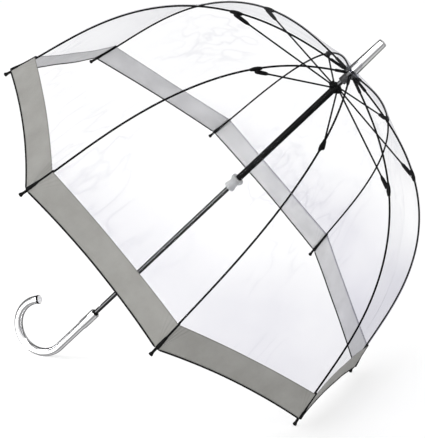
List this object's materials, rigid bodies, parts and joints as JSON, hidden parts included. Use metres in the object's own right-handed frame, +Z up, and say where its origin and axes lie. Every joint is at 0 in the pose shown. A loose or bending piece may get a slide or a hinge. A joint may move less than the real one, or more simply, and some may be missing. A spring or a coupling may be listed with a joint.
{
  "type": "clear dome umbrella",
  "caption": "Clear dome umbrella standing open on its crook and two rib tips, with folding ribs, a sliding runner and a border band.",
  "frame": {"origin": "on the floor under the middle of the open umbrella as it rests on its crook and two rib tips", "axes": "+Z up, +X along the floor from the handle towards the crown, +Y across; the shaft rises 44.8 degrees towards +X"},
  "size_m": [0.7817, 0.8056, 0.7042],
  "materials": {
    "shaft_chrome": "dark polished",
    "polished_silver": "satin polished",
    "clear_plastic": "clear",
    "grey_plastic": "moulded",
    "black_plastic": "moulded",
    "frosted_plastic": "translucent moulded",
    "black_rib": "black",
    "spring_steel": "bright",
    "clear_cover": "clear sheet with a silver-grey border band"
  },
  "bodies": {
    "shaft": {"shaft_tube": "shaft_chrome", "ferrule": "polished_silver", "crown_cap": "clear_plastic", "top_notch": "grey_plastic", "crook_handle": "polished_silver", "handle_grommet": "black_plastic", "hook_end_cap": "frosted_plastic"},
    "runner": {"runner_hub": "black_plastic", "runner_sleeve": "black_plastic", "runner_collar": "frosted_plastic"},
    "top_catch": {"top_spring": "spring_steel"},
    "bottom_catch": {"bottom_spring": "spring_steel"},
    "rib_1_upper": {"rib_1_upper": "black_rib", "cover_panel_1": "clear_cover"},
    "rib_1_mid": {"rib_1_mid": "black_rib"},
    "rib_1_lower": {"rib_1_lower": "black_rib", "rib_1_tip": "black_plastic"},
    "stretcher_1": {"stretcher_1": "black_rib"},
    "rib_2_upper": {"rib_2_upper": "black_rib", "cover_panel_2": "clear_cover"},
    "rib_2_mid": {"rib_2_mid": "black_rib"},
    "rib_2_lower": {"rib_2_lower": "black_rib", "rib_2_tip": "black_plastic"},
    "stretcher_2": {"stretcher_2": "black_rib"},
    "rib_3_upper": {"rib_3_upper": "black_rib", "cover_panel_3": "clear_cover"},
    "rib_3_mid": {"rib_3_mid": "black_rib"},
    "rib_3_lower": {"rib_3_lower": "black_rib", "rib_3_tip": "black_plastic"},
    "stretcher_3": {"stretcher_3": "black_rib"},
    "rib_4_upper": {"rib_4_upper": "black_rib", "cover_panel_4": "clear_cover"},
    "rib_4_mid": {"rib_4_mid": "black_rib"},
    "rib_4_lower": {"rib_4_lower": "black_rib", "rib_4_tip": "black_plastic"},
    "stretcher_4": {"stretcher_4": "black_rib"},
    "rib_5_upper": {"rib_5_upper": "black_rib", "cover_panel_5": "clear_cover"},
    "rib_5_mid": {"rib_5_mid": "black_rib"},
    "rib_5_lower": {"rib_5_lower": "black_rib", "rib_5_tip": "black_plastic"},
    "stretcher_5": {"stretcher_5": "black_rib"},
    "rib_6_upper": {"rib_6_upper": "black_rib", "cover_panel_6": "clear_cover"},
    "rib_6_mid": {"rib_6_mid": "black_rib"},
    "rib_6_lower": {"rib_6_lower": "black_rib", "rib_6_tip": "black_plastic"},
    "stretcher_6": {"stretcher_6": "black_rib"},
    "rib_7_upper": {"rib_7_upper": "black_rib", "cover_panel_7": "clear_cover"},
    "rib_7_mid": {"rib_7_mid": "black_rib"},
    "rib_7_lower": {"rib_7_lower": "black_rib", "rib_7_tip": "black_plastic"},
    "stretcher_7": {"stretcher_7": "black_rib"},
    "rib_8_upper": {"rib_8_upper": "black_rib", "cover_panel_8": "clear_cover"},
    "rib_8_mid": {"rib_8_mid": "black_rib"},
    "rib_8_lower": {"rib_8_lower": "black_rib", "rib_8_tip": "black_plastic"},
    "stretcher_8": {"stretcher_8": "black_rib"}
  },
  "joints": [
    {"name": "runner_slide", "type": "slide", "parent": "shaft", "child": "runner", "axis": [-0.7098, 0, -0.7044], "range_m": [0, 0.3764]},
    {"name": "top_catch_press", "type": "hinge", "parent": "shaft", "child": "top_catch", "pos_m": [0.08671, 0, 0.40362], "axis": [0, -1, 0], "range_deg": [0, 2], "stiffness_Nm_per_rad": 0.6, "deforming": ["top_spring"]},
    {"name": "bottom_catch_press", "type": "hinge", "parent": "shaft", "child": "bottom_catch", "pos_m": [-0.17805, 0, 0.14088], "axis": [0, -1, 0], "range_deg": [0, 2], "stiffness_Nm_per_rad": 0.6, "deforming": ["bottom_spring"]},
    {"name": "rib_1_fold", "type": "hinge", "parent": "shaft", "child": "rib_1_upper", "pos_m": [0.28438, 0.00364, 0.58347], "axis": [-0.2696, 0.9239, 0.2716], "range_deg": [0, 63.02], "deforming": ["cover_panel_1"]},
    {"name": "rib_1_straighten", "type": "hinge", "parent": "rib_1_upper", "child": "rib_1_mid", "pos_m": [0.37917, 0.08504, 0.40067], "axis": [-0.2696, 0.9239, 0.2716], "range_deg": [-15.46, 0]},
    {"name": "rib_1_lower_straighten", "type": "hinge", "parent": "rib_1_mid", "child": "rib_1_lower", "pos_m": [0.3706, 0.13203, 0.23232], "axis": [-0.2696, 0.9239, 0.2716], "range_deg": [-26.97, 0]},
    {"name": "stretcher_1_fold", "type": "hinge", "parent": "runner", "child": "stretcher_1", "pos_m": [0.25843, 0.00752, 0.55922], "axis": [-0.2696, 0.9239, 0.2716], "range_deg": [-86.24, 0]},
    {"name": "rib_2_fold", "type": "hinge", "parent": "shaft", "child": "rib_2_upper", "pos_m": [0.28076, 0.00878, 0.58712], "axis": [-0.6508, 0.3827, 0.6558], "range_deg": [0, 63.02], "deforming": ["cover_panel_2"]},
    {"name": "rib_2_straighten", "type": "hinge", "parent": "rib_2_upper", "child": "rib_2_mid", "pos_m": [0.29446, 0.2053, 0.48604], "axis": [-0.6508, 0.3827, 0.6558], "range_deg": [-15.46, 0]},
    {"name": "rib_2_lower_straighten", "type": "hinge", "parent": "rib_2_mid", "child": "rib_2_lower", "pos_m": [0.23907, 0.31876, 0.36486], "axis": [-0.6508, 0.3827, 0.6558], "range_deg": [-26.97, 0]},
    {"name": "stretcher_2_fold", "type": "hinge", "parent": "runner", "child": "stretcher_2", "pos_m": [0.25309, 0.01077, 0.5646], "axis": [-0.6508, 0.3827, 0.6558], "range_deg": [-86.24, 0]},
    {"name": "rib_3_fold", "type": "hinge", "parent": "shaft", "child": "rib_3_upper", "pos_m": [0.27564, 0.00878, 0.59228], "axis": [-0.6508, -0.3827, 0.6558], "range_deg": [0, 63.02], "deforming": ["cover_panel_3"]},
    {"name": "rib_3_straighten", "type": "hinge", "parent": "rib_3_upper", "child": "rib_3_mid", "pos_m": [0.17466, 0.2053, 0.60676], "axis": [-0.6508, -0.3827, 0.6558], "range_deg": [-15.46, 0]},
    {"name": "rib_3_lower_straighten", "type": "hinge", "parent": "rib_3_mid", "child": "rib_3_lower", "pos_m": [0.05307, 0.31876, 0.5523], "axis": [-0.6508, -0.3827, 0.6558], "range_deg": [-26.97, 0]},
    {"name": "stretcher_3_fold", "type": "hinge", "parent": "runner", "child": "stretcher_3", "pos_m": [0.2477, 0.00771, 0.57003], "axis": [-0.6508, -0.3827, 0.6558], "range_deg": [-86.24, 0]},
    {"name": "rib_4_fold", "type": "hinge", "parent": "shaft", "child": "rib_4_upper", "pos_m": [0.27202, 0.00364, 0.59593], "axis": [-0.2696, -0.9239, 0.2716], "range_deg": [0, 63.02], "deforming": ["cover_panel_4"]},
    {"name": "rib_4_straighten", "type": "hinge", "parent": "rib_4_upper", "child": "rib_4_mid", "pos_m": [0.08995, 0.08504, 0.69212], "axis": [-0.2696, -0.9239, 0.2716], "range_deg": [-15.46, 0]},
    {"name": "rib_4_lower_straighten", "type": "hinge", "parent": "rib_4_mid", "child": "rib_4_lower", "pos_m": [-0.07846, 0.13203, 0.68484], "axis": [-0.2696, -0.9239, 0.2716], "range_deg": [-26.97, 0]},
    {"name": "stretcher_4_fold", "type": "hinge", "parent": "runner", "child": "stretcher_4", "pos_m": [0.24542, 0.00013, 0.57234], "axis": [-0.2696, -0.9239, 0.2716], "range_deg": [-86.24, 0]},
    {"name": "rib_5_fold", "type": "hinge", "parent": "shaft", "child": "rib_5_upper", "pos_m": [0.27202, -0.00364, 0.59593], "axis": [0.2696, -0.9239, -0.2716], "range_deg": [0, 63.02], "deforming": ["cover_panel_5"]},
    {"name": "rib_5_straighten", "type": "hinge", "parent": "rib_5_upper", "child": "rib_5_mid", "pos_m": [0.08995, -0.08504, 0.69212], "axis": [0.2696, -0.9239, -0.2716], "range_deg": [-15.46, 0]},
    {"name": "rib_5_lower_straighten", "type": "hinge", "parent": "rib_5_mid", "child": "rib_5_lower", "pos_m": [-0.07846, -0.13203, 0.68484], "axis": [0.2696, -0.9239, -0.2716], "range_deg": [-26.97, 0]},
    {"name": "stretcher_5_fold", "type": "hinge", "parent": "runner", "child": "stretcher_5", "pos_m": [0.24757, -0.00752, 0.57017], "axis": [0.2696, -0.9239, -0.2716], "range_deg": [-86.24, 0]},
    {"name": "rib_6_fold", "type": "hinge", "parent": "shaft", "child": "rib_6_upper", "pos_m": [0.27564, -0.00878, 0.59228], "axis": [0.6508, -0.3827, -0.6558], "range_deg": [0, 63.02], "deforming": ["cover_panel_6"]},
    {"name": "rib_6_straighten", "type": "hinge", "parent": "rib_6_upper", "child": "rib_6_mid", "pos_m": [0.17466, -0.2053, 0.60676], "axis": [0.6508, -0.3827, -0.6558], "range_deg": [-15.46, 0]},
    {"name": "rib_6_lower_straighten", "type": "hinge", "parent": "rib_6_mid", "child": "rib_6_lower", "pos_m": [0.05307, -0.31876, 0.5523], "axis": [0.6508, -0.3827, -0.6558], "range_deg": [-26.97, 0]},
    {"name": "stretcher_6_fold", "type": "hinge", "parent": "runner", "child": "stretcher_6", "pos_m": [0.25291, -0.01077, 0.56479], "axis": [0.6508, -0.3827, -0.6558], "range_deg": [-86.24, 0]},
    {"name": "rib_7_fold", "type": "hinge", "parent": "shaft", "child": "rib_7_upper", "pos_m": [0.28076, -0.00878, 0.58712], "axis": [0.6508, 0.3827, -0.6558], "range_deg": [0, 63.02], "deforming": ["cover_panel_7"]},
    {"name": "rib_7_straighten", "type": "hinge", "parent": "rib_7_upper", "child": "rib_7_mid", "pos_m": [0.29446, -0.2053, 0.48604], "axis": [0.6508, 0.3827, -0.6558], "range_deg": [-15.46, 0]},
    {"name": "rib_7_lower_straighten", "type": "hinge", "parent": "rib_7_mid", "child": "rib_7_lower", "pos_m": [0.23907, -0.31876, 0.36486], "axis": [0.6508, 0.3827, -0.6558], "range_deg": [-26.97, 0]},
    {"name": "stretcher_7_fold", "type": "hinge", "parent": "runner", "child": "stretcher_7", "pos_m": [0.2583, -0.00771, 0.55936], "axis": [0.6508, 0.3827, -0.6558], "range_deg": [-86.24, 0]},
    {"name": "rib_8_fold", "type": "hinge", "parent": "shaft", "child": "rib_8_upper", "pos_m": [0.28438, -0.00364, 0.58347], "axis": [0.2696, 0.9239, -0.2716], "range_deg": [0, 63.02], "deforming": ["cover_panel_8"]},
    {"name": "rib_8_straighten", "type": "hinge", "parent": "rib_8_upper", "child": "rib_8_mid", "pos_m": [0.37917, -0.08504, 0.40067], "axis": [0.2696, 0.9239, -0.2716], "range_deg": [-15.46, 0]},
    {"name": "rib_8_lower_straighten", "type": "hinge", "parent": "rib_8_mid", "child": "rib_8_lower", "pos_m": [0.3706, -0.13203, 0.23232], "axis": [0.2696, 0.9239, -0.2716], "range_deg": [-26.97, 0]},
    {"name": "stretcher_8_fold", "type": "hinge", "parent": "runner", "child": "stretcher_8", "pos_m": [0.26059, -0.00013, 0.55705], "axis": [0.2696, 0.9239, -0.2716], "range_deg": [-86.24, 0]}
  ],
  "couplings": [
    {"joint": "rib_1_fold", "follows": "runner_slide", "rad_per_m": 2.9221},
    {"joint": "rib_1_straighten", "follows": "runner_slide", "rad_per_m": -0.71644},
    {"joint": "rib_1_lower_straighten", "follows": "runner_slide", "rad_per_m": -1.2502},
    {"joint": "stretcher_1_fold", "follows": "runner_slide", "rad_per_m": -3.9987},
    {"joint": "rib_2_fold", "follows": "runner_slide", "rad_per_m": 2.9221},
    {"joint": "rib_2_straighten", "follows": "runner_slide", "rad_per_m": -0.71644},
    {"joint": "rib_2_lower_straighten", "follows": "runner_slide", "rad_per_m": -1.2502},
    {"joint": "stretcher_2_fold", "follows": "runner_slide", "rad_per_m": -3.9987},
    {"joint": "rib_3_fold", "follows": "runner_slide", "rad_per_m": 2.9221},
    {"joint": "rib_3_straighten", "follows": "runner_slide", "rad_per_m": -0.71644},
    {"joint": "rib_3_lower_straighten", "follows": "runner_slide", "rad_per_m": -1.2502},
    {"joint": "stretcher_3_fold", "follows": "runner_slide", "rad_per_m": -3.9987},
    {"joint": "rib_4_fold", "follows": "runner_slide", "rad_per_m": 2.9221},
    {"joint": "rib_4_straighten", "follows": "runner_slide", "rad_per_m": -0.71644},
    {"joint": "rib_4_lower_straighten", "follows": "runner_slide", "rad_per_m": -1.2502},
    {"joint": "stretcher_4_fold", "follows": "runner_slide", "rad_per_m": -3.9987},
    {"joint": "rib_5_fold", "follows": "runner_slide", "rad_per_m": 2.9221},
    {"joint": "rib_5_straighten", "follows": "runner_slide", "rad_per_m": -0.71644},
    {"joint": "rib_5_lower_straighten", "follows": "runner_slide", "rad_per_m": -1.2502},
    {"joint": "stretcher_5_fold", "follows": "runner_slide", "rad_per_m": -3.9987},
    {"joint": "rib_6_fold", "follows": "runner_slide", "rad_per_m": 2.9221},
    {"joint": "rib_6_straighten", "follows": "runner_slide", "rad_per_m": -0.71644},
    {"joint": "rib_6_lower_straighten", "follows": "runner_slide", "rad_per_m": -1.2502},
    {"joint": "stretcher_6_fold", "follows": "runner_slide", "rad_per_m": -3.9987},
    {"joint": "rib_7_fold", "follows": "runner_slide", "rad_per_m": 2.9221},
    {"joint": "rib_7_straighten", "follows": "runner_slide", "rad_per_m": -0.71644},
    {"joint": "rib_7_lower_straighten", "follows": "runner_slide", "rad_per_m": -1.2502},
    {"joint": "stretcher_7_fold", "follows": "runner_slide", "rad_per_m": -3.9987},
    {"joint": "rib_8_fold", "follows": "runner_slide", "rad_per_m": 2.9221},
    {"joint": "rib_8_straighten", "follows": "runner_slide", "rad_per_m": -0.71644},
    {"joint": "rib_8_lower_straighten", "follows": "runner_slide", "rad_per_m": -1.2502},
    {"joint": "stretcher_8_fold", "follows": "runner_slide", "rad_per_m": -3.9987}
  ]
}
